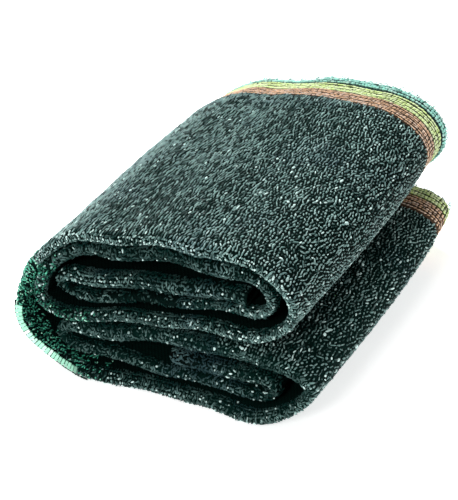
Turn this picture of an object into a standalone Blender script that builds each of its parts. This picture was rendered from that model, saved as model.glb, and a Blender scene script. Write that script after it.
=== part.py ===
"""Folded knitted shade cloth: one length of cloth, doubled and folded back and forth into a bundle."""

from collections import namedtuple
from math import cos, exp, pi, sin

import bmesh
import bpy
from mathutils import Vector

MM = 0.001

# The bundle lies with its folded lips at the near end (low y) and its two selvedges at the far end.
LENGTH = 272.0  # near lips to far selvedges, before each fold's own offset
LIP = 5.0  # how far the rounding of a near lip reaches back
SELVEDGE = 2.0  # rounding of the far end
SELVEDGE_HALF = 0.72  # share of the thickness that is left at the selvedges
FAR_FALL = 0.075  # share of the height that the bundle loses towards the selvedges
FAR_FALL_LEFT = 0.022  # and how much more of it at the spine
FALL_START = 205.0  # where that fall begins
RIGHT_BULGE = 3.5  # how much further right the bends stand at mid length
RIGHT_TAPER = 3.8  # and how much they come in at the selvedges
TAPER_START = 185.0
LEFT_BULGE = 1.0
CROWN_WAVE = 1.1  # soft unevenness of the crown
LIP_WAVE = 1.3  # unevenness of the near lips
LIP_WAVE_LENGTH = 58.0
ARM_STEP = 15.0  # sampling along the flat runs
BEND_STEPS = 6  # samples in each half of a bend
WIDE_BEND_STEPS = 10  # the same for a bend that is taller than WIDE_BEND
WIDE_BEND = 45.0
TURN_THIN = 0.22  # share of the thickness that the cloth loses at its turns

# One row for each fold, from the inner end of the upper packet to the inner end of the lower packet.
# x, z: the middle of the doubled cloth at the turn. in_reach and in_z say where the turn begins, out_reach
# and out_z where it ends. in_round and out_round are 2 for an ellipse and less for a flatter turn.
# mid_z, thick, near and far belong to the run after the fold: its height half way, the doubled cloth's
# thickness, how far its near lip stands back and how far its selvedges stop short.
COLUMNS = "name x z in_reach in_z out_reach out_z in_round out_round mid_z thick near far"
Fold = namedtuple("Fold", COLUMNS)
START = Fold("upper_inner_end", 45, 81.5, 0, 81.5, 0, 81.5, 2.0, 2.0, 77.0, 10.0, 3, 12)
FOLDS = (
    Fold("upper_left_inner", -83, 61.5, 12, 69.5, 14, 55.4, 2.0, 2.0, 64.6, 7.5, 6, 10),
    Fold("upper_right_inner", 61, 84.5, 17, 71.0, 19, 99.2, 2.0, 2.0, 100.6, 9.4, -1, 4),
    Fold("upper_left", -96, 51.0, 46, 94.3, 14, 43.5, 1.79, 1.85, 54.5, 8.0, -2, 6),
    Fold("upper_right", 77, 86.0, 32, 59.5, 43, 111.0, 2.0, 2.0, 111.0, 8.5, -3, 0),
    Fold("spine", -108.5, 40.0, 60, 105.5, 44, 5.0, 1.78, 1.62, 5.0, 10.0, -3, 10),
    Fold("lower_right", 88, 32.5, 44, 5.0, 24, 45.0, 1.78, 1.95, 44.6, 9.5, -2, 20),
    Fold("lower_left", -82, 27.5, 14, 35.0, 14, 18.0, 2.0, 2.0, 16.5, 8.0, 4, 14),
    Fold("lower_right_inner", 63, 21.8, 9, 16.0, 10, 28.0, 2.0, 2.0, 28.0, 9.0, 3, 12),
)
END = Fold("lower_inner_end", -8, 26.5, 0, 26.5, 0, 26.5, 2.0, 2.0, 26.8, 8.0, 6, 14)

Spot = namedtuple("Spot", "x z half near far")

# Where a near lip stands back (plus) or forward (minus): at is along the folds, spread to each side of it.
Sway = namedtuple("Sway", "name at spread back")
SWAYS = (Sway("base_dip", 1028, 24, 2.8), Sway("base_corner", 1074, 24, -3.8))


def ease(t):
    """0 to 1 with level ends."""
    t = min(max(t, 0.0), 1.0)
    return t * t * (3.0 - 2.0 * t)


def hermite(t, start, end, start_slope, end_slope):
    """Cubic from start to end, with the slopes given over the whole step."""
    t2, t3 = t * t, t * t * t
    rise = (3.0 * t2 - 2.0 * t3) * (end - start)
    return start + rise + (t3 - 2.0 * t2 + t) * start_slope + (t3 - t2) * end_slope


def blend(before, after, t):
    """Thickness and end offsets between two runs."""
    k = ease(t)
    return [a + (b - a) * k for a, b in zip(before, after)]


def run_sizes(fold):
    return (fold.thick / 2.0, fold.near, fold.far)


def run_spots(fold, after):
    """The flat run between two folds, without its last spot."""
    side = 1.0 if fold.x > after.x else -1.0
    start_x = fold.x - side * fold.out_reach
    end_x = after.x + side * after.in_reach
    slope = (after.in_z - fold.out_z) / 2.0
    count = max(3, round(abs(end_x - start_x) / ARM_STEP))
    spots = []
    for i in range(count):
        t = i / count
        if t < 0.5:
            z = hermite(2.0 * t, fold.out_z, fold.mid_z, 0.0, slope)
        else:
            z = hermite(2.0 * t - 1.0, fold.mid_z, after.in_z, slope, 0.0)
        spots.append(Spot(start_x + (end_x - start_x) * t, z, *run_sizes(fold)))
    return spots


def turn_spots(fold, before):
    """The turn of one fold, from its first spot to the one before its last."""
    side = 1.0 if fold.x > before.x else -1.0
    steps = WIDE_BEND_STEPS if abs(fold.in_z - fold.out_z) > WIDE_BEND else BEND_STEPS
    spots = []
    for i in range(2 * steps):
        angle = pi * i / (2 * steps)
        incoming = i < steps
        reach = fold.in_reach if incoming else fold.out_reach
        level = fold.in_z if incoming else fold.out_z
        power = 2.0 / (fold.in_round if incoming else fold.out_round)
        out = sin(angle) ** power
        up = abs(cos(angle)) ** power
        half, near, far = blend(run_sizes(before), run_sizes(fold), i / (2 * steps))
        sizes = (half * (1.0 - TURN_THIN * sin(angle)), near, far)
        spots.append(Spot(fold.x - side * reach * (1.0 - out), fold.z + (level - fold.z) * up, *sizes))
    return spots


def fold_path():
    """The middle line of the doubled cloth, seen from its near end."""
    rows = (START, *FOLDS, END)
    spots = []
    for before, fold in zip(rows, rows[1:]):
        spots += run_spots(before, fold)
        if fold is not END:
            spots += turn_spots(fold, before)
    return spots + [Spot(END.x, END.in_z, *run_sizes(END))]


def normals(spots):
    """Unit vectors across the middle line, to its left as it is walked."""
    across = []
    for i in range(len(spots)):
        a, b = spots[max(i - 1, 0)], spots[min(i + 1, len(spots) - 1)]
        along = Vector((b.x - a.x, b.z - a.z)).normalized()
        across.append(Vector((-along.y, along.x)))
    return across


def lengths(spots):
    """How far along the cloth each spot lies."""
    total = [0.0]
    for a, b in zip(spots, spots[1:]):
        total.append(total[-1] + ((b.x - a.x) ** 2 + (b.z - a.z) ** 2) ** 0.5)
    return total


def stations():
    """(share of the length, offset in mm, share of the thickness) of each section, near to far."""
    lips = [(0.0, 0.0, 0.28), (0.0, 0.12 * LIP, 0.62), (0.0, 0.4 * LIP, 0.88), (0.0, LIP, 1.0)]
    runs = [(share, 0.0, 1.0) for share in (0.12, 0.26, 0.42, 0.58, 0.72, 0.83, 0.92)]
    ends = [(1.0, -SELVEDGE, 0.94), (1.0, 0.0, SELVEDGE_HALF)]
    return lips + runs + ends


def settle(x, y, z):
    """How the whole bundle leans and sags, as a change of place that keeps layers apart."""
    middle = sin(pi * min(max(y / LENGTH, 0.0), 1.0))
    taper = RIGHT_TAPER * ease((y - TAPER_START) / (LENGTH - TAPER_START))
    left = LEFT_BULGE * ease(y / LENGTH) * ease((10.0 - x) / 110.0)
    depth = FAR_FALL + FAR_FALL_LEFT * ease((20.0 - x) / 90.0)
    fall = depth * ease((y - FALL_START) / (LENGTH - FALL_START))
    x += (RIGHT_BULGE * middle - taper) * ease((x + 20.0) / 110.0) - left
    wave = CROWN_WAVE * sin(y / 31.0 + 0.5) * cos(x / 37.0 - 0.8)
    return x, y, z * (1.0 - fall) + wave * ease((z - 12.0) / 100.0)


def section(spots, across, along, station):
    """The outline of the doubled cloth at one station, all the way round."""
    share, offset, fullness = station
    sides = ([], [])
    for spot, normal, s in zip(spots, across, along):
        wave = LIP_WAVE * sin(2.0 * pi * s / LIP_WAVE_LENGTH)
        wave += sum(sway.back * exp(-(((s - sway.at) / sway.spread) ** 2)) for sway in SWAYS)
        start = spot.near + wave * exp(-share * 8.0)
        y = start + share * (LENGTH - spot.far - start) + offset
        for side, points in zip((1.0, -1.0), sides):
            shift = side * spot.half * fullness
            points.append(settle(spot.x + normal.x * shift, y, spot.z + normal.y * shift))
    return sides[0] + sides[1][::-1]


def flat_base(points):
    """The underside lies on the floor: what is within a hair of it is put there."""
    return [(x, y, 0.0 if abs(z) < 0.05 else z) for x, y, z in points]


def build_cloth():
    spots = fold_path()
    across = normals(spots)
    along = lengths(spots)
    mesh = bmesh.new()
    rings = []
    for station in stations():
        points = flat_base(section(spots, across, along, station))
        rings.append([mesh.verts.new(Vector(p) * MM) for p in points])
    count = len(rings[0])
    for near, far in zip(rings, rings[1:]):
        for i in range(count):
            j = (i + 1) % count
            mesh.faces.new((near[i], near[j], far[j], far[i]))
    for ring in (rings[0], rings[-1]):
        for i in range(count // 2 - 1):
            mesh.faces.new((ring[i], ring[i + 1], ring[count - 2 - i], ring[count - 1 - i]))
    bmesh.ops.recalc_face_normals(mesh, faces=mesh.faces)
    low = [min(v.co[k] for v in mesh.verts) for k in range(3)]
    high = [max(v.co[k] for v in mesh.verts) for k in range(3)]
    middle = Vector(((low[0] + high[0]) / 2.0, (low[1] + high[1]) / 2.0, low[2]))
    bmesh.ops.translate(mesh, vec=-middle, verts=mesh.verts)
    for face in mesh.faces:
        face.smooth = True
    data = bpy.data.meshes.new("shade_cloth")
    mesh.to_mesh(data)
    mesh.free()
    print("cloth length", round(along[-1]), "mm, middle moved by", [round(v / MM, 2) for v in middle])
    return bpy.data.objects.new("shade_cloth", data)


def green_knit():
    material = bpy.data.materials.new("knitted_green")
    material.use_nodes = True
    shader = material.node_tree.nodes["Principled BSDF"]
    shader.inputs["Base Color"].default_value = (0.016, 0.060, 0.045, 1.0)
    shader.inputs["Roughness"].default_value = 0.6
    return material


def main():
    for old in list(bpy.data.objects):
        bpy.data.objects.remove(old, do_unlink=True)
    collection = bpy.data.collections.new("shade_cloth_bundle")
    bpy.context.scene.collection.children.link(collection)
    cloth = build_cloth()
    cloth.data.materials.append(green_knit())
    collection.objects.link(cloth)


main()
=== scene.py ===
"""Looks of the folded shade cloth: its knitted sheet, stitches, coloured selvedges and stage."""

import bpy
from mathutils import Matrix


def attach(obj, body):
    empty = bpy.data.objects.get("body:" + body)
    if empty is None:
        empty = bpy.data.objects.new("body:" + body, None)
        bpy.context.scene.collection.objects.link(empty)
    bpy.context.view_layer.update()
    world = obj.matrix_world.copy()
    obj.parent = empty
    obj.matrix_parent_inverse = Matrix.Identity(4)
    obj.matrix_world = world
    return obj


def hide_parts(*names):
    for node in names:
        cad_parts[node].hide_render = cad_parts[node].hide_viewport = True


bl_info = {
    "name": "Folded Shade Cloth",
    "version": (1, 0, 0),
    "blender": (4, 5, 0),
    "location": "View3D > Sidebar > Shade Cloth",
    "description": "Dresses the packed shade cloth with its knit, its selvedges and its studio",
    "category": "Object",
}

from collections import namedtuple
from math import cos, pi, radians, sin

import bmesh
import bpy
import numpy as np
from mathutils import Matrix, Vector

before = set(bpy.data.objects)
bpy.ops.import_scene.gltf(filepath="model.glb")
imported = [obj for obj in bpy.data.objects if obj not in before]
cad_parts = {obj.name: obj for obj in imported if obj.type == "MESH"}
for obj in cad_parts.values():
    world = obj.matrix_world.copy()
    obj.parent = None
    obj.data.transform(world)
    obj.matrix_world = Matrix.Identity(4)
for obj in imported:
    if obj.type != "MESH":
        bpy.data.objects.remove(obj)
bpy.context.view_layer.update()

MM = 0.001
NODE = "shade_cloth"

# The fold path of the CAD part, in millimetres, sampled more finely here.
LENGTH = 272.0  # near lips to far selvedges, before each fold's own offset
LIP = 5.0  # how far the rounding of a near lip reaches back
SELVEDGE_HALF = 0.72  # share of the thickness that is left at the selvedges
SELVEDGE_CLOSING = 0.025  # share of the length over which it closes to that
FAR_FALL = 0.075  # share of the height that the bundle loses towards the selvedges
FAR_FALL_LEFT = 0.022  # and how much more of it at the spine
FALL_START = 205.0  # where that fall begins
RIGHT_BULGE = 3.5  # how much further right the bends stand at mid length
RIGHT_TAPER = 3.8  # and how much they come in at the selvedges
TAPER_START = 185.0
LEFT_BULGE = 1.0
CROWN_WAVE = 1.1  # soft unevenness of the crown
LIP_WAVE = 1.3  # unevenness of the near lips
LIP_WAVE_LENGTH = 58.0
LIP_WAVE_FADE = 8.0  # how fast it dies away behind them
ARM_STEP = 5.0  # sampling along the flat runs
BEND_STEPS = 12  # samples in each half of a bend
WIDE_BEND_STEPS = 24  # the same for a bend that is taller than WIDE_BEND
WIDE_BEND = 45.0
TURN_THIN = 0.22  # share of the thickness that the cloth loses at its turns
MIDDLE = (-8.91, 132.37)  # the bundle's middle before the CAD part was centred

# One row for each fold, from the inner end of the upper packet to that of the lower one. x and z are
# the middle of the doubled cloth at the turn. in_reach and in_z say where the turn begins, out_reach
# and out_z where it ends. in_round and out_round are 2 for an ellipse and less for a flatter turn.
# mid_z, thick, near and far belong to the run after the fold: its height half way, the thickness of
# the doubled cloth, how far its near lip stands back and how far its selvedges stop short.
COLUMNS = "name x z in_reach in_z out_reach out_z in_round out_round mid_z thick near far"
Fold = namedtuple("Fold", COLUMNS)
START = Fold("upper_inner_end", 45, 81.5, 0, 81.5, 0, 81.5, 2.0, 2.0, 77.0, 10.0, 3, 12)
FOLDS = (
    Fold("upper_left_inner", -83, 61.5, 12, 69.5, 14, 55.4, 2.0, 2.0, 64.6, 7.5, 6, 10),
    Fold("upper_right_inner", 61, 84.5, 17, 71.0, 19, 99.2, 2.0, 2.0, 100.6, 9.4, -1, 4),
    Fold("upper_left", -96, 51.0, 46, 94.3, 14, 43.5, 1.79, 1.85, 54.5, 8.0, -2, 6),
    Fold("upper_right", 77, 86.0, 32, 59.5, 43, 111.0, 2.0, 2.0, 111.0, 8.5, -3, 0),
    Fold("spine", -108.5, 40.0, 60, 105.5, 44, 5.0, 1.78, 1.62, 5.0, 10.0, -3, 10),
    Fold("lower_right", 88, 32.5, 44, 5.0, 24, 45.0, 1.78, 1.95, 44.6, 9.5, -2, 20),
    Fold("lower_left", -82, 27.5, 14, 35.0, 14, 18.0, 2.0, 2.0, 16.5, 8.0, 4, 14),
    Fold("lower_right_inner", 63, 21.8, 9, 16.0, 10, 28.0, 2.0, 2.0, 28.0, 9.0, 3, 12),
)
END = Fold("lower_inner_end", -8, 26.5, 0, 26.5, 0, 26.5, 2.0, 2.0, 26.8, 8.0, 6, 14)
Spot = namedtuple("Spot", "x z half near far")

# Where a near lip stands back (plus) or forward (minus), at a place along the folds.
Sway = namedtuple("Sway", "name at spread back")
SWAYS = (Sway("base_dip", 1028, 24, 2.8), Sway("base_corner", 1074, 24, -3.8))

# The cloth is doubled: across it, 0 is the near lip, minus runs along the outer layer and plus on
# the inner one, each to its selvedge at HALF_WIDTH.
LIP_ARC = 7.6  # from the lip round to the flat of a layer
HALF_WIDTH = 274.5
PAST_SELVEDGE = 1.02  # how far out the skin may be read, as a share of that
READ_ALONG = 0.8  # steps for reading its directions
READ_ACROSS = 0.6
FLOOR_GAP = 0.15  # the lowest place of the skin
FLOOR_SKIN = 0.0001  # and the lowest that a stitch may reach, in metres
SHEET_STEPS = (380, 96)  # faces of the sheet along and across
SHEET_EVEN = 0.38  # below 1, the faces are smaller towards the lip

# Stretches of the cloth, in millimetres along the folds unless they say otherwise.
OUTER_FROM = 455.0  # the outer skin: top, spine and base
OUTER_SPLIT = 800.0  # where the crest parts the top from the spine
SPINE_END = 1060.0  # where the spine has turned into the base
OUTER_TO = 1190.0
COMBED_FROM = 800.0  # between these the stitches lie in order, at the left of the top
COMBED_TO = 960.0
COMBED_RISE = 120.0  # how far before and after they still lie partly so
COMBED_FALL = 80.0
CREST_FROM = 785.0  # the crest at the left of the top, where painted light brightens the stitches
CREST_TO = 905.0
NEAR_TOP_FROM = 640.0  # the near part of the top, which gets painted light too
NEAR_TOP_TO = 780.0
BASE_FROM = 1000.0  # where the base gets painted light of its own
LIP_EDGE = 3.0  # where the stitches of the outer skin end before its lip
LIP_REACH = 11.0  # how far across the lips are knitted
PACKET_REACH = 24.0  # how far in the coloured rows show between the layers
END_MARGIN = 0.5  # what stays bare at both ends of the cloth

# The coloured rows, in millimetres from the selvedge.
TEAL_END = 10.0
LIME_END = 28.0
BROWN_END = 50.0
CURLED = 9.0  # how much of the lower packet's selvedge is curled under
CURL_FROM = 1000.0
CURL_TO = 1050.0
FLARE = 2.8  # how far the top sheet's selvedge stands up
FLARE_REACH = 15.0
FLARE_FROM = 590.0
FLARE_TO = 800.0
FLARE_EASE = 60.0

# The near left rim, where the light that comes through the cloth is painted into the stitches'
# colour.
LIT_FROM = 845.0
LIT_TO = 990.0
LIT_SHARE = 0.85  # how many of the stitches get painted backlight there
INNER_LIT_FROM = 430.0  # the same in the turn inside it
INNER_LIT_TO = 530.0
INNER_LIT_SHARE = 0.55
RIM_FROM = 898.0
RIM_TO = 958.0
RIM_FADE = 26.0  # how far before its end the rim grows darker
RIM_AT = 0.6  # where the rim lies across the cloth
RIM_WIDE = 4.4
RIM_PITCH = 2.5
RIM_RAISED = 0.9  # how far the rim lies off the cloth
RIM_THREADS = (-2.5, -3.3)  # where its threads lie, from its middle

# How far the knit rises and sinks, in millimetres off the skin.
KNIT_RISE = 0.35  # height of the soft unevenness
ROW_RISE = 0.3  # the same for the coloured rows
SHEET_SINK = 0.55
STITCH_SINK = 0.25

# How the stitches turn, in degrees.
PATCH_LEAN = 7.0  # with the slow patches of the cloth
COMBED_LEAN = 18.0  # where they lie in order
LOOSE_TURN = 12.0  # spread for a loose field
SCATTERED_TURN = 16.0  # spread where they lie every way
STITCH_NOD = -8.0  # into the cloth at one end
STITCH_NOD_SPREAD = 9.0
STITCH_ROLL = 20.0  # spread of their turn about their own length
CHAIN_TURN = 14.0
CHAIN_TURN_SPREAD = 10.0

# The ground between the stitches, in metres of its flat pattern.
BAND_REACH = 0.06  # how far the ramp of its colours reaches
BAND_DARK = 0.10  # how bright its coloured rows are, as a share of the yarn
# near black: the ground's darkest colour, at random spots and, as painted shade, at the inner end
GAP_COLOUR = (0.0005, 0.0015, 0.0012, 1.0)
END_FADE = 0.045  # painted shade: how far before the inner end of the cloth, inside the lower packet, it grows dark
LIGHTER_FROM = 1.0  # where it starts to grow lighter along the base
LIGHTER_EASE = 0.06

# Tones of the stitches: 0 is the darkest tape and 1 the palest, a painted glint.
PATCH_TONE = 0.2  # swing with the slow patches
LAYER_SHADE_TONE = 0.55  # painted shade: how much darker the stitches grow between the layers
# painted light, added to the tones of the outer skin
CREST_TONE = 0.27
NEAR_TOP_TONE = 0.13
BASE_TONE = 0.14  # painted light: gain of the base towards its selvedge
BASE_NEAR_TONE = -0.04  # and at its lip
TONE_SPREAD = 1.3  # spread of the tone, as a share of it
TONE_LIMITS = (0.02, 0.84)
# painted glints: the tones of the pale stitches
GLINT_TONES = (0.76, 1.0)


def ease(t):
    """0 to 1 with level ends."""
    t = np.clip(t, 0.0, 1.0)
    return t * t * (3.0 - 2.0 * t)


def between(x, start, rise, end, fall):
    """1 between start and end, eased in over rise and out over fall."""
    return ease((x - start) / rise) * ease((end - x) / fall)


def hermite(t, start, end, start_slope, end_slope):
    """Cubic from start to end, with the slopes given over the whole step."""
    t2, t3 = t * t, t * t * t
    rise = (3.0 * t2 - 2.0 * t3) * (end - start)
    return start + rise + (t3 - 2.0 * t2 + t) * start_slope + (t3 - t2) * end_slope


def run_sizes(fold):
    return (fold.thick / 2.0, fold.near, fold.far)


def run_spots(fold, after):
    """The flat run between two folds, without its last spot."""
    side = 1.0 if fold.x > after.x else -1.0
    start_x = fold.x - side * fold.out_reach
    end_x = after.x + side * after.in_reach
    slope = (after.in_z - fold.out_z) / 2.0
    count = max(3, round(abs(end_x - start_x) / ARM_STEP))
    spots = []
    for i in range(count):
        t = i / count
        if t < 0.5:
            z = hermite(2.0 * t, fold.out_z, fold.mid_z, 0.0, slope)
        else:
            z = hermite(2.0 * t - 1.0, fold.mid_z, after.in_z, slope, 0.0)
        spots.append(Spot(start_x + (end_x - start_x) * t, z, *run_sizes(fold)))
    return spots


def turn_spots(fold, before):
    """The turn of one fold, from its first spot to the one before its last."""
    side = 1.0 if fold.x > before.x else -1.0
    steps = WIDE_BEND_STEPS if abs(fold.in_z - fold.out_z) > WIDE_BEND else BEND_STEPS
    spots = []
    for i in range(2 * steps):
        angle = pi * i / (2 * steps)
        incoming = i < steps
        reach = fold.in_reach if incoming else fold.out_reach
        level = fold.in_z if incoming else fold.out_z
        power = 2.0 / (fold.in_round if incoming else fold.out_round)
        out = sin(angle) ** power
        up = abs(cos(angle)) ** power
        k = ease(i / (2 * steps))
        half, near, far = [a + (b - a) * k for a, b in zip(run_sizes(before), run_sizes(fold))]
        sizes = (half * (1.0 - TURN_THIN * sin(angle)), near, far)
        x = fold.x - side * reach * (1.0 - out)
        spots.append(Spot(x, fold.z + (level - fold.z) * up, *sizes))
    return spots


def fold_path():
    """The middle line of the doubled cloth as columns, with its normals and lengths along it."""
    rows = (START, *FOLDS, END)
    spots = []
    for before, fold in zip(rows, rows[1:]):
        spots += run_spots(before, fold)
        if fold is not END:
            spots += turn_spots(fold, before)
    spots.append(Spot(END.x, END.in_z, *run_sizes(END)))
    columns = dict(zip(Spot._fields, np.array(spots).T))
    dx, dz = np.gradient(columns["x"]), np.gradient(columns["z"])
    step = np.hypot(dx, dz)
    columns["nx"], columns["nz"] = -dz / step, dx / step
    steps = np.hypot(np.diff(columns["x"]), np.diff(columns["z"]))
    columns["s"] = np.concatenate(([0.0], np.cumsum(steps)))
    return columns


PATH = fold_path()
PATH_LENGTH = float(PATH["s"][-1])


def settle(x, y, z):
    """How the whole bundle leans and sags, as in the CAD part."""
    middle = np.sin(pi * np.clip(y / LENGTH, 0.0, 1.0))
    taper = RIGHT_TAPER * ease((y - TAPER_START) / (LENGTH - TAPER_START))
    left = LEFT_BULGE * ease(y / LENGTH) * ease((10.0 - x) / 110.0)
    depth = FAR_FALL + FAR_FALL_LEFT * ease((20.0 - x) / 90.0)
    fall = depth * ease((y - FALL_START) / (LENGTH - FALL_START))
    shifted = x + (RIGHT_BULGE * middle - taper) * ease((x + 20.0) / 110.0) - left
    wave = CROWN_WAVE * np.sin(y / 31.0 + 0.5) * np.cos(shifted / 37.0 - 0.8)
    return shifted, y, z * (1.0 - fall) + wave * ease((z - 12.0) / 100.0)


def skin(s, d):
    """The place of the cloth's skin at s along the folds and d across, before centring."""
    s = np.clip(s, 0.0, PATH_LENGTH)
    at = {name: np.interp(s, PATH["s"], PATH[name]) for name in PATH}
    stretch = np.hypot(at["nx"], at["nz"])
    side = np.where(d < 0.0, -1.0, 1.0)
    reach = np.abs(d)
    angle = np.clip(reach / LIP_ARC, 0.0, 1.0) * pi / 2.0
    flat = np.clip((reach - LIP_ARC) / (HALF_WIDTH - LIP_ARC), 0.0, PAST_SELVEDGE)
    share = flat * (LENGTH - at["far"] - at["near"] - LIP) / (LENGTH - at["far"] - at["near"])
    wave = LIP_WAVE * np.sin(2.0 * pi * s / LIP_WAVE_LENGTH)
    for sway in SWAYS:
        wave = wave + sway.back * np.exp(-(((s - sway.at) / sway.spread) ** 2))
    wave = wave * np.exp(-share * LIP_WAVE_FADE)
    start = at["near"] + wave
    end = LENGTH - at["far"]
    y = start + LIP * (1.0 - np.cos(angle)) + flat * (end - start - LIP)
    closing = ease((flat - (1.0 - SELVEDGE_CLOSING)) / SELVEDGE_CLOSING)
    half = at["half"] * np.sin(angle) * (1.0 - (1.0 - SELVEDGE_HALF) * closing)
    x = at["x"] + side * at["nx"] / stretch * half
    z = at["z"] + side * at["nz"] / stretch * half
    return np.stack(settle(x, y, z), axis=-1)


def unit(v):
    return v / np.maximum(np.linalg.norm(v, axis=-1, keepdims=True), 1e-9)


def frames(s, d):
    """Place, direction along the folds, direction across and outward normal of the skin."""
    here = skin(s, d)
    along = unit(skin(s + READ_ALONG, d) - skin(s - READ_ALONG, d))
    across = unit(skin(s, d + READ_ACROSS) - skin(s, d - READ_ACROSS))
    out = unit(np.cross(along, across))
    return here, along, across, out


def ripple(s, d):
    """Soft unevenness of the knit, about -1 to 1."""
    a = np.sin(s / 7.3 + 1.7 * np.sin(d / 19.0)) * np.sin(d / 8.9 + 1.3 * np.sin(s / 23.0))
    b = np.sin(s / 3.9 + d / 11.0 + 2.0 * np.sin(d / 31.0))
    c = np.sin(d / 5.1 - s / 13.0 + 1.5 * np.sin(s / 17.0))
    return 0.55 * a + 0.25 * b + 0.2 * c


def patches(s, d):
    """Slow change of tone and lean over the cloth, about -1 to 1."""
    a = np.sin(s / 21.0 + 1.9 * np.sin(d / 47.0)) * np.cos(d / 26.0 + 1.4 * np.sin(s / 39.0))
    b = np.sin((s + d) / 34.0 + 2.1 * np.sin((s - d) / 61.0))
    return 0.6 * a + 0.4 * b


def curled(s):
    """How much of the selvedge is curled under at s along the folds."""
    return CURLED * ease((s - CURL_FROM) / (CURL_TO - CURL_FROM))


def centred(points):
    """Millimetres before centring to metres in the CAD frame, kept above the floor."""
    moved = points - np.array([MIDDLE[0], MIDDLE[1], 0.0])
    moved[..., 2] = np.maximum(moved[..., 2], FLOOR_GAP)
    return moved * MM


# ---- Node groups and materials


def socket(tree, name, kind, default=None, out=False):
    """Adds one named socket to a node group."""
    way = "OUTPUT" if out else "INPUT"
    made = tree.interface.new_socket(name, in_out=way, socket_type="NodeSocket" + kind)
    if default is not None:
        made.default_value = default
    return made


def node(tree, kind, **values):
    made = tree.nodes.new(kind)
    for key, value in values.items():
        setattr(made, key, value)
    return made


def new_group(name, kind="ShaderNodeTree"):
    """An empty node group, with its two ends."""
    tree = bpy.data.node_groups.new(name, kind)
    return tree, node(tree, "NodeGroupInput"), node(tree, "NodeGroupOutput")


def maths(tree, operation, a, b=None, clamp=False):
    """One maths node, whose operands are sockets or numbers."""
    made = node(tree, "ShaderNodeMath", operation=operation, use_clamp=clamp)
    for i, value in enumerate((a, b)):
        if value is None:
            continue
        if isinstance(value, (int, float)):
            made.inputs[i].default_value = value
        else:
            tree.links.new(value, made.inputs[i])
    return made.outputs[0]


def mix(tree, factor, a, b):
    """One colour mix."""
    made = node(tree, "ShaderNodeMix", data_type="RGBA")
    for place, value in ((0, factor), (6, a), (7, b)):
        if isinstance(value, (int, float, tuple)):
            made.inputs[place].default_value = value
        else:
            tree.links.new(value, made.inputs[place])
    return made.outputs[2]


def noise(tree, vector, scale, detail=2.0):
    made = node(tree, "ShaderNodeTexNoise")
    made.inputs["Scale"].default_value = scale
    made.inputs["Detail"].default_value = detail
    tree.links.new(vector, made.inputs["Vector"])
    return made.outputs["Fac"]


def tape_tone_group():
    """Colour and roughness of one stitch from its own tone, with slow patches over the cloth.
    Above a tone of 0.82 it mixes in Glint, a painted highlight, and Shine puts that out for a
    painted glow.
    """
    tree, entry, leave = new_group("tape_tone")
    for name, kind, value in (
        ("Tone", "Float", 0.5),
        ("Shade", "Color", (0.01, 0.04, 0.03, 1.0)),
        ("Body", "Color", (0.1, 0.2, 0.16, 1.0)),
        ("Glint", "Color", (0.6, 0.8, 0.75, 1.0)),
        ("Patch Depth", "Float", 0.4),
        ("Tint", "Color", (0.055, 0.11, 0.15, 1.0)),
        ("Tint Share", "Float", 0.0),
    ):
        socket(tree, name, kind, value)
    for name, kind in (("Colour", "Color"), ("Roughness", "Float"), ("Shine", "Color")):
        socket(tree, name, kind, out=True)
    place = node(tree, "ShaderNodeTexCoord").outputs["Object"]
    slow = noise(tree, place, 75.0, 3.0)
    fine = noise(tree, place, 420.0, 1.0)
    swing = maths(tree, "SUBTRACT", slow, 0.5)
    swing = maths(tree, "MULTIPLY", swing, entry.outputs["Patch Depth"])
    grain = maths(tree, "MULTIPLY", maths(tree, "SUBTRACT", fine, 0.5), 0.35)
    tone = maths(tree, "ADD", maths(tree, "ADD", entry.outputs["Tone"], swing), grain, clamp=True)
    low = maths(tree, "DIVIDE", tone, 0.75, clamp=True)
    # painted highlight: the palest tones turn into the glint colour
    above = maths(tree, "SUBTRACT", entry.outputs["Tone"], 0.82)
    high = maths(tree, "DIVIDE", above, 0.18, clamp=True)
    colour = mix(tree, low, entry.outputs["Shade"], entry.outputs["Body"])
    colour = mix(tree, high, colour, entry.outputs["Glint"])
    broad = maths(tree, "SUBTRACT", noise(tree, place, 23.0, 3.0), 0.52)
    cool = maths(tree, "MULTIPLY", broad, 6.0, clamp=True)
    tint = maths(tree, "MULTIPLY", cool, entry.outputs["Tint Share"])
    colour = mix(tree, tint, colour, entry.outputs["Tint"])
    rough = maths(tree, "ADD", maths(tree, "MULTIPLY", fine, 0.3), 0.22)
    tree.links.new(colour, leave.inputs["Colour"])
    tree.links.new(rough, leave.inputs["Roughness"])
    # Shine: the painted glints again, for a painted glow
    shine = mix(tree, high, (0.0, 0.0, 0.0, 1.0), entry.outputs["Glint"])
    tree.links.new(shine, leave.inputs["Shine"])
    return tree


def knit_grain_group():
    """Height of a fine knit from a flat pattern in metres, for the sheet below the stitches."""
    tree, entry, leave = new_group("knit_grain")
    socket(tree, "Vector", "Vector")
    socket(tree, "Row Pitch", "Float", 0.0042)
    socket(tree, "Stitch Pitch", "Float", 0.0024)
    socket(tree, "Height", "Float", out=True)
    split = node(tree, "ShaderNodeSeparateXYZ")
    tree.links.new(entry.outputs["Vector"], split.inputs[0])
    waves = []
    for place, pitch in ((split.outputs[0], "Stitch Pitch"), (split.outputs[1], "Row Pitch")):
        turns = maths(tree, "DIVIDE", place, entry.outputs[pitch])
        waves.append(maths(tree, "SINE", maths(tree, "MULTIPLY", turns, 2.0 * pi)))
    loops = maths(tree, "MULTIPLY", maths(tree, "MULTIPLY", *waves), 0.5)
    uneven = noise(tree, entry.outputs["Vector"], 260.0, 3.0)
    tree.links.new(maths(tree, "ADD", loops, uneven), leave.inputs["Height"])
    return tree


def rgba(colour):
    return (*colour, 1.0)


def new_material(name):
    material = bpy.data.materials.new(name)
    material.use_nodes = True
    return material, material.node_tree, material.node_tree.nodes["Principled BSDF"]


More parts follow.
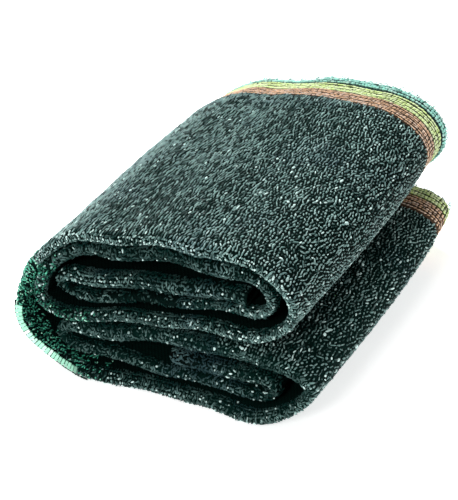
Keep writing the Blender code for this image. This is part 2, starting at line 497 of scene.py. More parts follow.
def tape_material(name, shade, body, glint, patch=0.4, sheen=0.0, tint=0.0, glow=0.0, shine=0.0):
    """Plastic tape or yarn whose stitches each have their own tone."""
    material, tree, shader = new_material(name)
    tone = node(tree, "ShaderNodeAttribute", attribute_name="tone")
    group = node(tree, "ShaderNodeGroup")
    group.node_tree = bpy.data.node_groups["tape_tone"]
    for key, value in (("Shade", shade), ("Body", body), ("Glint", glint)):
        group.inputs[key].default_value = rgba(value)
    group.inputs["Patch Depth"].default_value = patch
    group.inputs["Tint Share"].default_value = tint
    tree.links.new(tone.outputs["Fac"], group.inputs["Tone"])
    tree.links.new(group.outputs["Colour"], shader.inputs["Base Color"])
    tree.links.new(group.outputs["Roughness"], shader.inputs["Roughness"])
    shader.inputs["Specular IOR Level"].default_value = 0.22
    shader.inputs["Sheen Weight"].default_value = sheen
    # painted glow: glow lights the whole stitch in its body colour, shine only its painted glints
    if glow > 0.0:
        shader.inputs["Emission Color"].default_value = rgba(body)
        shader.inputs["Emission Strength"].default_value = glow
    elif shine > 0.0:
        tree.links.new(group.outputs["Shine"], shader.inputs["Emission Color"])
        shader.inputs["Emission Strength"].default_value = shine
    return material


def ground_material(name, colours):
    """The sheet between the stitches: near black green, partly its own dark colour and partly
    painted shade between the stitches and the layers, with dark shades of its coloured rows.
    """
    material, tree, shader = new_material(name)
    pattern = node(tree, "ShaderNodeUVMap", uv_map="cloth")
    split = node(tree, "ShaderNodeSeparateXYZ")
    tree.links.new(pattern.outputs["UV"], split.inputs[0])
    middle = maths(tree, "ABSOLUTE", maths(tree, "SUBTRACT", split.outputs[1], HALF_WIDTH * MM))
    inward = maths(tree, "SUBTRACT", HALF_WIDTH * MM, middle)
    ramp = node(tree, "ShaderNodeValToRGB")
    ramp.color_ramp.interpolation = "CONSTANT"
    tree.links.new(maths(tree, "DIVIDE", inward, BAND_REACH, clamp=True), ramp.inputs[0])
    elements = ramp.color_ramp.elements
    bands = [(0.0, colours.teal), (TEAL_END, colours.lime), (LIME_END, colours.brown)]
    steps = [(start, [c * BAND_DARK for c in colour]) for start, colour in bands]
    for i, (start, colour) in enumerate([*steps, (BROWN_END, colours.shade)]):
        element = elements[i] if i < 2 else elements.new(start * MM / BAND_REACH)
        element.position = start * MM / BAND_REACH
        element.color = rgba(colour)
    uneven = noise(tree, pattern.outputs["UV"], 300.0, 2.0)
    # painted shade at the inner end of the cloth, inside the lower packet
    from_end = maths(tree, "SUBTRACT", PATH_LENGTH * MM, split.outputs[0])
    fade = maths(tree, "DIVIDE", from_end, END_FADE, clamp=True)
    past = maths(tree, "SUBTRACT", split.outputs[0], LIGHTER_FROM)
    lighter = maths(tree, "ADD", maths(tree, "DIVIDE", past, LIGHTER_EASE, clamp=True), 1.0)
    shown = maths(tree, "MULTIPLY", maths(tree, "MULTIPLY", uneven, lighter, clamp=True), fade)
    colour = mix(tree, shown, GAP_COLOUR, ramp.outputs[0])
    tree.links.new(colour, shader.inputs["Base Color"])
    grain = node(tree, "ShaderNodeGroup")
    grain.node_tree = bpy.data.node_groups["knit_grain"]
    tree.links.new(pattern.outputs["UV"], grain.inputs["Vector"])
    bump = node(tree, "ShaderNodeBump")
    bump.inputs["Distance"].default_value = 0.0006
    bump.inputs["Strength"].default_value = 0.8
    tree.links.new(grain.outputs["Height"], bump.inputs["Height"])
    tree.links.new(bump.outputs["Normal"], shader.inputs["Normal"])
    shader.inputs["Roughness"].default_value = 0.9
    shader.inputs["Specular IOR Level"].default_value = 0.05
    return material


# ---- Settings


def length_property(name, description, value):
    return bpy.props.FloatProperty(name=name, description=description, default=value, unit="LENGTH")


class ShadeClothSizes(bpy.types.PropertyGroup):
    """Sizes of the knit."""

    sheet: length_property("Sheet", "Thickness of one layer", 0.0016)
    row_pitch: length_property("Row Pitch", "Spacing of the rows across the cloth", 0.0042)
    stitch_pitch: length_property("Stitch Pitch", "Spacing of the stitches along a row", 0.0025)
    stitch_length: length_property("Stitch Length", "Length of one tape stitch", 0.0048)
    stitch_width: length_property("Stitch Width", "Width of one tape stitch", 0.00145)
    stitch_height: length_property("Stitch Height", "Rise of a stitch off the cloth", 0.0011)
    tuft: length_property("Tuft", "Length of the loose ends at the selvedges", 0.0050)


def colour_property(name, description, value):
    return bpy.props.FloatVectorProperty(
        name=name, description=description, default=value, subtype="COLOR", size=3, min=0.0, max=1.0
    )


class ShadeClothColours(bpy.types.PropertyGroup):
    """Colours of the tapes and yarns."""

    # near black: the cloth's own dark colour and painted shade below the stitches
    shade: colour_property("Shade", "The cloth below its stitches", (0.001, 0.014, 0.011))
    tape_dark: colour_property("Dark Tape", "The darkest green stitches", (0.001, 0.030, 0.025))
    tape: colour_property("Tape", "The usual green stitches", (0.194, 0.338, 0.316))
    # painted highlight colour of the glinting stitches
    glint: colour_property("Glint", "The palest stitches", (0.70, 0.92, 0.88))
    brown: colour_property("Brown", "Rows next to the green", (0.90, 0.56, 0.34))
    lime: colour_property("Lime", "Rows in the middle of the band", (0.80, 1.0, 0.38))
    teal: colour_property("Teal", "Rows at the selvedge", (0.42, 0.90, 0.78))
    mint: colour_property("Mint", "The pale rim at the near left", (0.40, 0.84, 0.62))
    # painted backlight: the green of the rim stitches
    lit: colour_property("Lit Green", "Stitches at the rim, lit from behind", (0.072, 0.47, 0.31))


# ---- Making pieces


def add_object(name, mesh, material):
    """Ends a bmesh as one object of one material."""
    data = bpy.data.meshes.new(name)
    mesh.to_mesh(data)
    mesh.free()
    data.materials.append(material)
    made = bpy.data.objects.new(name, data)
    bpy.context.scene.collection.objects.link(made)
    return made


def drop(template):
    bpy.data.objects.remove(template, do_unlink=True)


def stitch_template(name, material, segments=4):
    """One closed spindle of unit length, width and height, pointing along X."""
    mesh = bmesh.new()
    bmesh.ops.create_uvsphere(mesh, u_segments=segments, v_segments=3, radius=0.5)
    bmesh.ops.rotate(mesh, verts=mesh.verts, matrix=Matrix.Rotation(pi / segments, 3, "Z"))
    bmesh.ops.rotate(mesh, verts=mesh.verts, matrix=Matrix.Rotation(pi / 2.0, 3, "Y"))
    for face in mesh.faces:
        face.smooth = True
    return add_object(name, mesh, material)


def film_template(name, material):
    """One flat piece of film of unit size, with bevelled edges."""
    mesh = bmesh.new()
    bmesh.ops.create_cube(mesh, size=1.0)
    bmesh.ops.bevel(
        mesh, geom=mesh.edges, offset=0.12, segments=1, profile=0.5, affect="EDGES", material=-1
    )
    return add_object(name, mesh, material)


def spread_tree(template):
    """Geometry nodes that put the template on every point, turned, scaled and realized."""
    tree, entry, leave = new_group("spread_stitches", "GeometryNodeTree")
    socket(tree, "Geometry", "Geometry")
    socket(tree, "Geometry", "Geometry", out=True)
    shape = node(tree, "GeometryNodeObjectInfo")
    shape.inputs["Object"].default_value = template
    put = node(tree, "GeometryNodeInstanceOnPoints")
    real = node(tree, "GeometryNodeRealizeInstances")
    turn = node(tree, "FunctionNodeEulerToRotation")
    for name, place in (("turn", turn.inputs[0]), ("size", put.inputs["Scale"])):
        read = node(tree, "GeometryNodeInputNamedAttribute", data_type="FLOAT_VECTOR")
        read.inputs["Name"].default_value = name
        tree.links.new(read.outputs["Attribute"], place)
    tree.links.new(entry.outputs[0], put.inputs["Points"])
    tree.links.new(shape.outputs["Geometry"], put.inputs["Instance"])
    tree.links.new(turn.outputs[0], put.inputs["Rotation"])
    tree.links.new(put.outputs[0], real.inputs[0])
    tree.links.new(real.outputs[0], leave.inputs[0])
    return tree


def eulers(axis_x, axis_z):
    """XYZ Euler angles of the turn that brings X to axis_x and Z near axis_z."""
    x = unit(axis_x)
    y = unit(np.cross(axis_z, x))
    z = np.cross(x, y)
    pitch = np.arcsin(np.clip(-x[:, 2], -1.0, 1.0))
    return np.stack([np.arctan2(y[:, 2], z[:, 2]), pitch, np.arctan2(x[:, 1], x[:, 0])], axis=-1)


def spread(name, template, places, turns, sizes, tones):
    """One joined mesh with a copy of the template at every place."""
    print(name, len(places), "stitches")
    carrier = bpy.data.meshes.new(name + "_points")
    carrier.vertices.add(len(places))
    carrier.vertices.foreach_set("co", places.astype(np.float32).ravel())
    for key, kind, values in (
        ("turn", "FLOAT_VECTOR", turns),
        ("size", "FLOAT_VECTOR", sizes),
        ("tone", "FLOAT", tones),
    ):
        layer = carrier.attributes.new(key, kind, "POINT")
        field = "value" if kind == "FLOAT" else "vector"
        layer.data.foreach_set(field, np.asarray(values, dtype=np.float32).ravel())
    made = bpy.data.objects.new(name, carrier)
    bpy.context.scene.collection.objects.link(made)
    tree = spread_tree(template)
    made.modifiers.new("spread", "NODES").node_group = tree
    graph = bpy.context.evaluated_depsgraph_get()
    solid = bpy.data.meshes.new_from_object(made.evaluated_get(graph))
    solid.name = name
    made.modifiers.clear()
    made.data = solid
    bpy.data.meshes.remove(carrier)
    bpy.data.node_groups.remove(tree)
    for key in ("turn", "size"):
        if key in solid.attributes:
            solid.attributes.remove(solid.attributes[key])
    corners = np.empty(len(solid.vertices) * 3, dtype=np.float32)
    solid.vertices.foreach_get("co", corners)
    corners[2::3] = np.maximum(corners[2::3], FLOOR_SKIN)
    solid.vertices.foreach_set("co", corners)
    solid.update()
    return made


# One row for each stretch of cloth that shows its stitches. s_from and s_to are along the folds,
# d_from and d_to across; loose is how unevenly the stitches lie there, lean how far every other row
# of them leans, in degrees, bright the share of pale ones, which are painted glints, and size the
# share of the usual stitch length. spacing scales the pitches and tone is the middle tone. A lip has
# no tone of its own: it takes its tone, its share of pale stitches and its cover from LIPS.
Field = namedtuple("Field", "s_from s_to d_from d_to loose lean bright size spacing tone")

# How the lips look, from the inner end of the upper packet to that of the lower one: the place along
# the folds, the tone, the share of pale stitches and the share of stitches that show. Low tones and
# low cover are painted shade in the hollows between the layers, where the dark ground shows; the
# pale stitches are painted glints. The values run evenly from one row to the next.
LIPS = (
    (0, 0.08, 0.03, 0.70),
    (50, 0.11, 0.05, 0.80),
    (75, 0.20, 0.12, 1.00),
    (118, 0.22, 0.16, 1.00),
    (136, 0.08, 0.02, 0.60),
    (152, 0.16, 0.06, 0.80),
    (170, 0.14, 0.04, 0.70),
    (182, 0.02, 0.01, 0.30),
    (212, 0.02, 0.01, 0.30),
    (226, 0.16, 0.09, 1.00),
    (275, 0.20, 0.10, 1.00),
    (300, 0.14, 0.07, 0.90),
    (330, 0.05, 0.05, 0.85),
    (440, 0.04, 0.05, 0.85),
    (465, 0.09, 0.10, 0.85),
    (500, 0.12, 0.14, 0.90),
    (530, 0.14, 0.08, 1.00),
    (600, 0.22, 0.13, 1.00),
    (655, 0.30, 0.16, 1.00),
    (690, 0.36, 0.24, 1.00),
    (850, 0.36, 0.28, 1.00),
    (880, 0.27, 0.16, 1.00),
    (990, 0.19, 0.12, 1.00),
    (1090, 0.16, 0.09, 0.90),
    (1190, 0.08, 0.07, 0.90),
    (1285, 0.05, 0.09, 0.75),
    (1305, 0.04, 0.03, 0.55),
    (1340, 0.05, 0.05, 0.60),
    (1440, 0.08, 0.09, 0.70),
    (1460, 0.11, 0.10, 0.90),
    (1480, 0.07, 0.05, 0.85),
    (1505, 0.03, 0.02, 0.80),
)
LIP_AT, *LIP_LOOKS = np.array(LIPS).T


def scattered(s):
    """0 where the stitches lie in order, at the left of the top, and 1 where they lie every way."""
    return np.maximum(ease((COMBED_FROM - s) / COMBED_RISE), ease((s - COMBED_TO) / COMBED_FALL))


def painted_layer_shade(s, d):
    """Painted shade: 0 where the cloth shows outside, rising where it goes in between the layers."""
    outside = (s > OUTER_FROM) & (s < OUTER_TO) & (d < 0.0)
    return np.where(outside, 0.0, LAYER_SHADE_TONE * ease((np.abs(d) - 2.0) / 7.0))


def lit(s, d):
    """0 to 1 where painted backlight, of light that comes through the cloth, lies at the near left
    rim.
    """
    outer = between(s, LIT_FROM, 28.0, LIT_TO, 50.0) * between(d, -20.0, 8.0, 26.0, 16.0)
    inner = between(s, INNER_LIT_FROM, 25.0, INNER_LIT_TO, 25.0) * ease((9.0 - d) / 4.0)
    return np.maximum(LIT_SHARE * outer, INNER_LIT_SHARE * inner)


def under_rim(s, d):
    """True where the mint rim lies over the cloth."""
    return (s > RIM_FROM - 1.0) & (s < RIM_TO - 3.0) & (np.abs(d - RIM_AT) < RIM_WIDE / 2.0)


def flare(s, inward):
    """How far the selvedge of the top sheet stands up off its layer, in millimetres."""
    along = between(s, FLARE_FROM, FLARE_EASE, FLARE_TO, FLARE_EASE)
    return FLARE * along * ease((FLARE_REACH - inward) / FLARE_REACH)


def grid_points(field, pitch_s, pitch_d, rng):
    """Staggered rows of points over one stretch of cloth."""
    rows = np.arange(field.d_from, field.d_to, pitch_d)
    columns = np.arange(field.s_from, field.s_to, pitch_s)
    d, s = np.meshgrid(rows, columns, indexing="ij")
    s = s + (rng.random(len(rows)) * pitch_s)[:, None]
    row = np.broadcast_to(np.arange(len(rows))[:, None], s.shape)
    s = s + rng.normal(0.0, 0.20 * pitch_s * field.loose, s.shape)
    d = d + rng.normal(0.0, 0.16 * pitch_d * field.loose, d.shape)
    return s.ravel(), d.ravel(), row.ravel()


def shown_points(field, sizes, lit_ones, rng):
    """The points of a field that carry a stitch, with their rows, tones and shares of pale ones."""
    pitches = (sizes.stitch_pitch / MM * field.spacing, sizes.row_pitch / MM * field.spacing)
    s, d, row = grid_points(field, *pitches, rng)
    base, bright, cover = field.tone, field.bright, 1.0
    if field.tone is None:
        base, bright, cover = [np.interp(s, LIP_AT, look) for look in LIP_LOOKS]
    looks = [np.broadcast_to(value, s.shape) for value in (base, bright)]
    keep = (s > END_MARGIN) & (s < PATH_LENGTH - END_MARGIN) & (rng.random(len(s)) < cover)
    keep &= ((rng.random(len(s)) < lit(s, d)) == lit_ones) & ~under_rim(s, d)
    inward = HALF_WIDTH + d + curled(s)
    coloured = (s > OUTER_FROM) & (s < OUTER_TO) & (inward < BROWN_END + 1.0)
    return [column[keep & ~coloured] for column in (s, d, row, *looks)]


def turned(a, b, angle):
    """a turned by an angle towards b, for rows of unit vectors."""
    return a * np.cos(angle)[:, None] + b * np.sin(angle)[:, None]


def stitch_turns(field, row, slow, untidy, axes, rng):
    """The way each stitch runs, mostly across the cloth, and the way that its flat side faces."""
    along, across, out = axes
    count = len(row)
    tilt = radians(PATCH_LEAN) * slow + radians(COMBED_LEAN) * (1.0 - untidy)
    spread_turn = radians(LOOSE_TURN) * field.loose + radians(SCATTERED_TURN) * untidy
    tilt += rng.normal(0.0, 1.0, count) * spread_turn
    tilt += radians(field.lean) * np.where(row % 2 == 0, 1.0, -1.0)
    nod = rng.normal(radians(STITCH_NOD), radians(STITCH_NOD_SPREAD) * field.loose, count)
    run = turned(turned(across, along, tilt), out, nod)
    roll = rng.normal(0.0, radians(STITCH_ROLL), count)
    return run, turned(out, np.cross(run, out), roll)


def painted_light_gain(s, d):
    """Painted light that the outer skin gains in tone: at the crest, round the base and at the near
    top.
    """
    crest = CREST_TONE * between(s, CREST_FROM, 50.0, CREST_TO, 40.0)
    base = BASE_TONE * np.minimum(-d / HALF_WIDTH, 1.0) + BASE_NEAR_TONE
    near = NEAR_TOP_TONE * between(s, NEAR_TOP_FROM, 30.0, NEAR_TOP_TO, 60.0)
    return crest + ease((s - BASE_FROM) / 60.0) * base + near * ease((d + 110.0) / 80.0)


def stitches(name, template, fields, sizes, seed, lit_ones=False):
    """Tape stitches over several stretches of the cloth, running across it from row to row. With
    lit_ones it keeps those at the lit rim, and otherwise the rest."""
    rng = np.random.default_rng(seed)
    parts = []
    for field in fields:
        s, d, row, base, bright = shown_points(field, sizes, lit_ones, rng)
        count = len(s)
        here, *axes = frames(s, d)
        slow = patches(s, d)
        untidy = scattered(s)
        # painted shade between the layers: darker stitches with fewer painted glints, half as much
        # at the lit rim
        shade_between = painted_layer_shade(s, d) * (0.5 if lit_ones else 1.0)
        run, face = stitch_turns(field, row, slow, untidy, axes, rng)
        lift = KNIT_RISE * ripple(s, d) - STITCH_SINK + rng.normal(0.0, 0.10 * field.loose, count)
        tone = base * (0.95 + 0.35 * untidy) + PATCH_TONE * slow - shade_between
        tone += rng.normal(0.0, 1.0, count) * base * (TONE_SPREAD - 0.2 * untidy)
        # painted light on the outer skin's stitches
        if field.tone is not None:
            tone += painted_light_gain(s, d)
        # painted glints: pale stitches, more of them near the lips
        near_lip = np.exp(-np.maximum(np.abs(d) - LIP_EDGE, 0.0) / 8.0)
        share = bright * (0.3 + 0.3 * untidy + 1.3 * near_lip) * (1.0 - 1.7 * shade_between)
        pale = rng.random(count) < share
        tone = np.where(pale, rng.uniform(*GLINT_TONES, count), np.clip(tone, *TONE_LIMITS))
        reach = 1.0 if field.tone is None else 1.00 - 0.38 * untidy
        length = sizes.stitch_length * field.size * np.where(pale, 0.6, reach)
        width = sizes.stitch_width * np.where(pale, 1.15, 0.94) * (0.68 + 0.22 * untidy)
        scale = [
            length * np.exp(rng.normal(-0.04, 0.20 + 0.14 * untidy, count)),
            width * np.exp(rng.normal(-0.02, 0.18 + 0.12 * untidy, count)),
            sizes.stitch_height * rng.normal(1.0, 0.2, count),
        ]
        places = centred(here + axes[2] * lift[:, None])
        parts.append((places, eulers(run, face), np.stack(scale, axis=-1), tone))
    return spread(name, template, *[np.concatenate(column) for column in zip(*parts)])


def chain(name, template, rows, pitch, size, seed, tone_at, raised=-STITCH_SINK):
    """Chain stitches that follow each other along the cloth. rows is a list of (s_from, s_to, side,
    inward), where inward is how far each row lies from its selvedge and side is -1 on the outer
    layer. raised is how far the rows lie off the cloth."""
    rng = np.random.default_rng(seed)
    parts = []
    for s_from, s_to, side, inward in rows:
        s = np.arange(s_from, s_to, pitch)
        s = s + rng.normal(0.0, 0.10 * pitch, len(s))
        shown = inward - curled(s)
        s, shown = s[shown > 0.5], shown[shown > 0.5]
        sway = 0.45 * np.sin(s / 9.0 + inward) + rng.normal(0.0, 0.12, len(s))
        d = side * (HALF_WIDTH - shown + sway)
        here, along, across, out = frames(s, d)
        tilt = rng.normal(0.0, radians(CHAIN_TURN_SPREAD), len(s)) + radians(CHAIN_TURN)
        run = turned(along, across, tilt)
        lift = ROW_RISE * ripple(s, d) + raised + rng.normal(0.0, 0.08, len(s))
        lift = lift + (flare(s, shown) if side < 0.0 else 0.0)
        scale = np.array(size) * rng.normal(1.0, 0.12, (len(s), 3))
        tone = np.clip(tone_at + rng.normal(0.0, 0.24, len(s)), 0.05, 1.0)
        parts.append((centred(here + out * lift[:, None]), eulers(run, out), scale, tone))
    return spread(name, template, *[np.concatenate(column) for column in zip(*parts)])


def finish_piece(piece):
    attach(piece, "root")
    return piece


def build_sheet(sizes, colours):
    """The doubled cloth: a flat grid wrapped over the folds, then given its thickness."""
    mesh = bmesh.new()
    bmesh.ops.create_grid(mesh, x_segments=SHEET_STEPS[0], y_segments=SHEET_STEPS[1], size=0.5)
    layer = mesh.loops.layers.uv.new("cloth")
    flat = np.array([v.co for v in mesh.verts])
    s = (flat[:, 0] + 0.5) * PATH_LENGTH
    t = flat[:, 1] * 2.0
    d = HALF_WIDTH * (SHEET_EVEN * t + (1.0 - SHEET_EVEN) * t**3)
    here, _, _, out = frames(s, d)
    lift = KNIT_RISE * ripple(s, d) - SHEET_SINK
    lift = lift + np.where(d < 0.0, flare(s, HALF_WIDTH - np.abs(d)), 0.0)
    points = centred(here + out * lift[:, None])
    pattern = np.stack([s, d + HALF_WIDTH - curled(s) * d / HALF_WIDTH], axis=-1) * MM
    for vert, point in zip(mesh.verts, points):
        vert.co = point
    for face in mesh.faces:
        face.smooth = True
        for loop in face.loops:
            loop[layer].uv = pattern[loop.vert.index]
    made = add_object("cloth_skin", mesh, ground_material("knit_ground", colours))
    thick = made.modifiers.new("thickness", "SOLIDIFY")
    thick.thickness = sizes.sheet
    thick.offset = -1.0
    return made


# ---- Operators


def settings(context):
    return context.scene.shade_cloth_sizes, context.scene.shade_cloth_colours


class MakeCloth(bpy.types.Operator):
    """Make the knitted sheet, doubled and folded as the CAD part is"""

    bl_idname = "shade_cloth.make_cloth"
    bl_label = "Knitted Sheet"

    def execute(self, context):
        sizes, colours = settings(context)
        tape_tone_group()
        knit_grain_group()
        piece = finish_piece(build_sheet(sizes, colours))
        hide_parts(NODE)
        return {"FINISHED"}


class MakeStitches(bpy.types.Operator):
    """Knit the green tape stitches over all that shows of the cloth"""

    bl_idname = "shade_cloth.make_stitches"
    bl_label = "Tape Stitches"

    def execute(self, context):
        sizes, colours = settings(context)
        tones = (colours.tape_dark, colours.tape, colours.glint)
        # shine gives the painted glints a painted glow
        tape = tape_material("green_tape", *tones, patch=1.1, tint=0.3, shine=0.22)
        template = stitch_template("stitch", tape)
        far = -(HALF_WIDTH - BROWN_END + CURLED)
        skin_reach = (far, -LIP_EDGE)
        top = [Field(OUTER_FROM, OUTER_SPLIT, *skin_reach, 0.65, 1.0, 0.13, 0.94, 0.82, 0.50)]
        base = [
            Field(OUTER_SPLIT, SPINE_END, *skin_reach, 0.65, 1.0, 0.15, 0.94, 0.86, 0.45),
            Field(SPINE_END, OUTER_TO, *skin_reach, 0.65, 1.0, 0.19, 0.94, 0.86, 0.40),
        ]
        lips = [
            Field(s_from, s_to, d_from, LIP_REACH, 0.9, 30.0, None, 0.62, 0.60, None)
            for s_from, s_to, d_from in (
                (0.0, OUTER_FROM, -LIP_REACH),
                (OUTER_FROM, OUTER_TO, -LIP_EDGE),
                (OUTER_TO, PATH_LENGTH, -LIP_REACH),
            )
        ]
        for name, fields, seed in (
            ("upper_stitches", top, 11),
            ("lower_stitches", base, 12),
            ("lip_stitches", lips, 13),
        ):
            finish_piece(stitches(name, template, fields, sizes, seed))
        drop(template)
        return {"FINISHED"}


# One row for each coloured band. Its rows lie from first to last off the selvedge, with spacing
# between them; pitch is the step from bead to bead and bead the size of one, in metres.
Band = namedtuple("Band", "name colour tone first last spacing pitch bead")
BANDS = (
    Band("brown_rows", "brown", 0.79, LIME_END + 1.8, BROWN_END, 3.5, 2.4, (0.0029, 0.0017, 0.0008)),
    Band("lime_rows", "lime", 0.94, TEAL_END + 1.8, LIME_END, 3.5, 2.4, (0.0031, 0.0024, 0.0009)),
    Band("teal_rows", "teal", 0.74, 0.4, TEAL_END, 2.5, 2.3, (0.0028, 0.0019, 0.0016)),
)
TUFT_COUNT = 4200  # loose ends at both selvedges
TUFT_THICK = 0.0006


class MakeSelvedges(bpy.types.Operator):
    """Knit the brown, lime and teal rows and the loose ends along the selvedges"""

    bl_idname = "shade_cloth.make_selvedges"
    bl_label = "Coloured Selvedges"

    def execute(self, context):
        sizes, colours = settings(context)
        for seed, band in enumerate(BANDS, start=21):
            colour = getattr(colours, band.colour)
            shade = [c * 0.16 for c in colour]
            # painted glints of the yarn
            glint = [0.3 + 0.7 * c for c in colour]
            material = tape_material(band.name, shade, colour, glint, patch=0.3, sheen=0.2)
            template = stitch_template(band.name + "_bead", material)
            rows = []
            for inward in np.arange(band.first, band.last, band.spacing):
                rows.append((OUTER_FROM, OUTER_TO, -1.0, inward))
                if inward < PACKET_REACH:
                    rows.append((1.0, OUTER_FROM, -1.0, inward))
                    rows.append((OUTER_TO, PATH_LENGTH - 1.0, -1.0, inward))
                    rows.append((1.0, PATH_LENGTH - 1.0, 1.0, inward))
            piece = chain(band.name, template, rows, band.pitch, band.bead, seed, band.tone)
            finish_piece(piece)
            drop(template)
        self.tufts(sizes, colours)
        return {"FINISHED"}

    def tufts(self, sizes, colours):
        """Short loose ends of yarn that stand out of both selvedges."""
        rng = np.random.default_rng(31)
        shade = [c * 0.12 for c in colours.teal]
        # painted glints of the loose ends
        glint = [0.35 + 0.6 * c for c in colours.teal]
        material = tape_material("teal_ends", shade, colours.teal, glint, patch=0.4)
        template = stitch_template("loose_end", material, segments=3)
        count = TUFT_COUNT
        s = rng.uniform(1.0, PATH_LENGTH - 1.0, count)
        side = np.where(rng.random(count) < 0.5, -1.0, 1.0)
        d = side * (HALF_WIDTH - rng.uniform(0.0, 1.5, count))
        here, along, across, out = frames(s, d)
        away = across * np.sign(d)[:, None]
        lean = rng.normal(0.0, 0.75, count)
        rise = rng.normal(0.1, 0.45, count)
        run = unit(away + along * lean[:, None] + out * rise[:, None])
        length = sizes.tuft * rng.uniform(0.5, 1.2, count)
        thick = np.full(count, TUFT_THICK)
        scale = np.stack([length, thick, thick], axis=-1)
        tone = np.clip(rng.normal(0.5, 0.3, count), 0.02, 1.0)
        here = here + out * np.where(d < 0.0, flare(s, HALF_WIDTH - np.abs(d)), 0.0)[:, None]
        places = centred(here) + run * (length * 0.35)[:, None]
        finish_piece(spread("selvedge_ends", template, places, eulers(run, out), scale, tone))
        drop(template)


class MakeRim(bpy.types.Operator):
    """Make the mint ladder of stitches along the near rim at the lower left"""

    bl_idname = "shade_cloth.make_rim"
    bl_label = "Mint Rim"

    def execute(self, context):
        sizes, colours = settings(context)
        self.lit_stitches(sizes, colours)
        self.film(colours)
        self.threads()
        return {"FINISHED"}

    def lit_stitches(self, sizes, colours):
        """Green stitches with painted backlight and a painted glow, round the rim and in the turn
        inside it.
        """
        shade = [c * 0.18 for c in colours.lit]
        # painted backlight colour with a painted glow
        green = tape_material("lit_tape", shade, colours.lit, colours.mint, patch=0.8, glow=0.05)
        template = stitch_template("lit_stitch", green)
        fields = [
            Field(LIT_FROM, LIT_TO, -20.0, 30.0, 1.6, 18.0, 0.34, 0.54, 0.58, 0.50),
            Field(INNER_LIT_FROM, INNER_LIT_TO, -10.0, 9.0, 1.4, 18.0, 0.12, 0.66, 0.60, 0.16),
        ]
        finish_piece(stitches("rim_stitches", template, fields, sizes, 40, lit_ones=True))
        drop(template)

    def film(self, colours):
        """The pale cells of the ladder with a painted glow, darker towards its lower end."""
        shade = [c * 0.35 for c in colours.mint]
        glint = (0.85, 1.0, 0.93)
        # painted glow of the pale cells
        mint = tape_material("mint_film", shade, colours.mint, glint, patch=0.2, glow=0.10)
        template = film_template("rim_cell", mint)
        rng = np.random.default_rng(41)
        s = np.arange(RIM_FROM, RIM_TO, RIM_PITCH)
        d = RIM_AT + rng.normal(0.0, 0.15, len(s))
        here, _, across, out = frames(s, d)
        scale = np.array([0.0046, 0.0020, 0.0009]) * rng.normal(1.0, 0.08, (len(s), 3))
        fade = ease((s - RIM_TO + RIM_FADE) / RIM_FADE)
        tone = np.clip(rng.normal(0.86, 0.12, len(s)) - 0.62 * fade, 0.12, 1.0)
        places = centred(here + out * (RIM_RAISED * ease((s - RIM_FROM) / 9.0))[:, None])
        finish_piece(spread("mint_rim", template, places, eulers(across, out), scale, tone))
        drop(template)

    def threads(self):
        """Two dark threads along the outer side of the ladder."""
        shade, body, glint = (0.003, 0.012, 0.010), (0.010, 0.045, 0.034), (0.1, 0.3, 0.2)
        template = stitch_template("rim_knot", tape_material("rim_thread", shade, body, glint))
        size = (0.0026, 0.0010, 0.0010)
        edges = [RIM_AT + edge for edge in RIM_THREADS]
        rows = [(RIM_FROM - 3.0, RIM_TO + 6.0, -1.0, HALF_WIDTH + edge) for edge in edges]
        finish_piece(chain("rim_threads", template, rows, 1.9, size, 42, 0.4, raised=RIM_RAISED))
        drop(template)


# The stage, in metres and degrees.
CAMERA_AT = (0.4086 - MIDDLE[0] * MM, -0.7953 - MIDDLE[1] * MM, 0.6128)
CAMERA_AZIMUTH = 25.1
CAMERA_ELEVATION = 29.5
CAMERA_LENS = 126.0
SENSOR = 36.0
AIM = (0.0, 0.0, 0.05)  # what the lights point at
Lamp = namedtuple("Lamp", "name place size power")
LAMPS = (Lamp("key", (-0.9, 0.9, 1.5), 0.7, 60.0), Lamp("front", (0.1, -1.5, 0.9), 0.35, 9.0))
WORLD_LIGHT = 0.30
FLOOR_GREY = 0.93
FLOOR_LIGHT = 0.7
FLOOR_REACH = 6.0


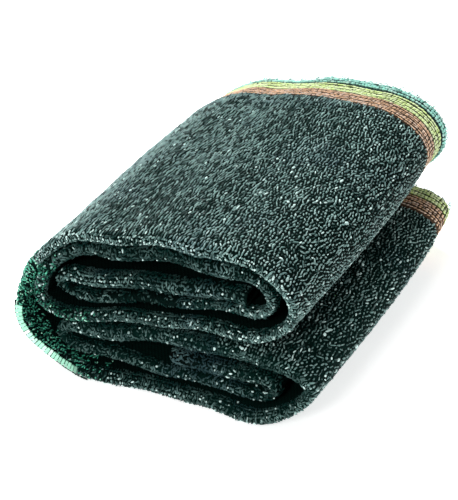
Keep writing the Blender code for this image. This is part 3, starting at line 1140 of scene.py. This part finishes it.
class MakeStage(bpy.types.Operator):
    """Set up the pale floor, the soft studio light and the camera"""

    bl_idname = "shade_cloth.make_stage"
    bl_label = "Stage"

    def execute(self, context):
        self.floor()
        self.lights(context)
        self.camera(context)
        return {"FINISHED"}

    def floor(self):
        mesh = bmesh.new()
        bmesh.ops.create_grid(mesh, x_segments=1, y_segments=1, size=FLOOR_REACH)
        material, _, shader = new_material("pale_floor")
        shader.inputs["Base Color"].default_value = rgba([FLOOR_GREY] * 3)
        shader.inputs["Roughness"].default_value = 0.9
        shader.inputs["Specular IOR Level"].default_value = 0.1
        shader.inputs["Emission Color"].default_value = (1.0, 1.0, 1.0, 1.0)
        shader.inputs["Emission Strength"].default_value = FLOOR_LIGHT
        add_object("floor", mesh, material)

    def lights(self, context):
        world = bpy.data.worlds.new("studio")
        world.use_nodes = True
        background = world.node_tree.nodes["Background"]
        background.inputs[0].default_value = (1.0, 1.0, 1.0, 1.0)
        background.inputs[1].default_value = WORLD_LIGHT
        context.scene.world = world
        for lamp in LAMPS:
            light = bpy.data.lights.new(lamp.name, "AREA")
            light.shape = "DISK"
            light.size = lamp.size
            light.energy = lamp.power
            made = bpy.data.objects.new(lamp.name, light)
            made.location = lamp.place
            aim = Vector(AIM) - Vector(lamp.place)
            made.rotation_euler = aim.to_track_quat("-Z", "Y").to_euler()
            context.scene.collection.objects.link(made)
        context.scene.view_settings.view_transform = "Standard"
        context.scene.view_settings.look = "None"

    def camera(self, context):
        azimuth, elevation = radians(CAMERA_AZIMUTH), radians(CAMERA_ELEVATION)
        right = Vector((cos(azimuth), sin(azimuth), 0.0))
        level = cos(elevation)
        back = Vector((sin(azimuth) * level, -cos(azimuth) * level, sin(elevation)))
        up = back.cross(right)
        data = bpy.data.cameras.new("camera")
        data.lens = CAMERA_LENS
        data.sensor_width = SENSOR
        data.sensor_fit = "AUTO"
        made = bpy.data.objects.new("camera", data)
        turn = Matrix((right, up, back)).transposed().to_4x4()
        made.matrix_world = Matrix.Translation(CAMERA_AT) @ turn
        context.scene.collection.objects.link(made)
        context.scene.camera = made


class ShadeClothPanel(bpy.types.Panel):
    """Sizes, colours and steps of the shade cloth"""

    bl_idname = "VIEW3D_PT_shade_cloth"
    bl_label = "Shade Cloth"
    bl_space_type = "VIEW_3D"
    bl_region_type = "UI"
    bl_category = "Shade Cloth"

    def draw(self, context):
        for group in settings(context):
            box = self.layout.box()
            for key in group.__annotations__:
                box.prop(group, key)
        for step in STEPS:
            self.layout.operator(step.bl_idname)


STEPS = (MakeStage, MakeCloth, MakeStitches, MakeSelvedges, MakeRim)
CLASSES = (ShadeClothSizes, ShadeClothColours, *STEPS, ShadeClothPanel)


def register():
    for made in CLASSES:
        bpy.utils.register_class(made)
    bpy.types.Scene.shade_cloth_sizes = bpy.props.PointerProperty(type=ShadeClothSizes)
    bpy.types.Scene.shade_cloth_colours = bpy.props.PointerProperty(type=ShadeClothColours)


def unregister():
    del bpy.types.Scene.shade_cloth_colours
    del bpy.types.Scene.shade_cloth_sizes
    for made in reversed(CLASSES):
        bpy.utils.unregister_class(made)


def main():
    register()
    bpy.ops.shade_cloth.make_stage()
    bpy.ops.shade_cloth.make_cloth()
    bpy.ops.shade_cloth.make_stitches()
    bpy.ops.shade_cloth.make_selvedges()
    bpy.ops.shade_cloth.make_rim()


if __name__ == "__main__":
    main()
